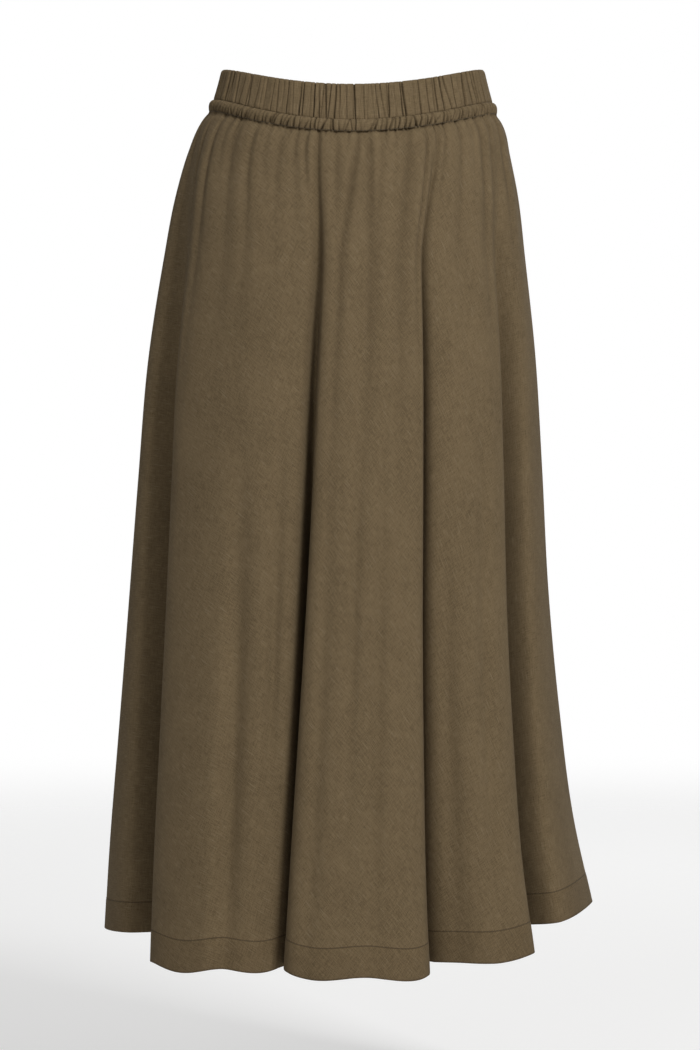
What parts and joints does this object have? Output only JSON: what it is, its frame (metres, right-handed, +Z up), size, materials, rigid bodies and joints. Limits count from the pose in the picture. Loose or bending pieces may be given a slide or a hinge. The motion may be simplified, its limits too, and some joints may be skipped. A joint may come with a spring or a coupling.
{
  "type": "maxi skirt",
  "caption": "Long flared skirt with a gathered elastic waistband, a narrow ruched casing below it and two half-circle panels falling in deep folds to a turned-up hem, standing open as if worn.",
  "frame": {"origin": "centre of the waist opening at half the height of the waistband's side, where the wearer holds the skirt up", "axes": "+Z up out of the waist opening, -Y towards the front of the skirt, +X towards a viewer's right when facing the front"},
  "size_m": [0.507, 0.4702, 0.9124],
  "materials": {
    "skirt_cloth": "matt woven cloth with fine slubs, olive brown",
    "band_cloth": "the same woven cloth, drawn into fine gathers"
  },
  "bodies": {
    "root": {"waistband": "band_cloth", "casing": "band_cloth", "skirt_front": "skirt_cloth", "skirt_back": "skirt_cloth"}
  },
  "joints": []
}
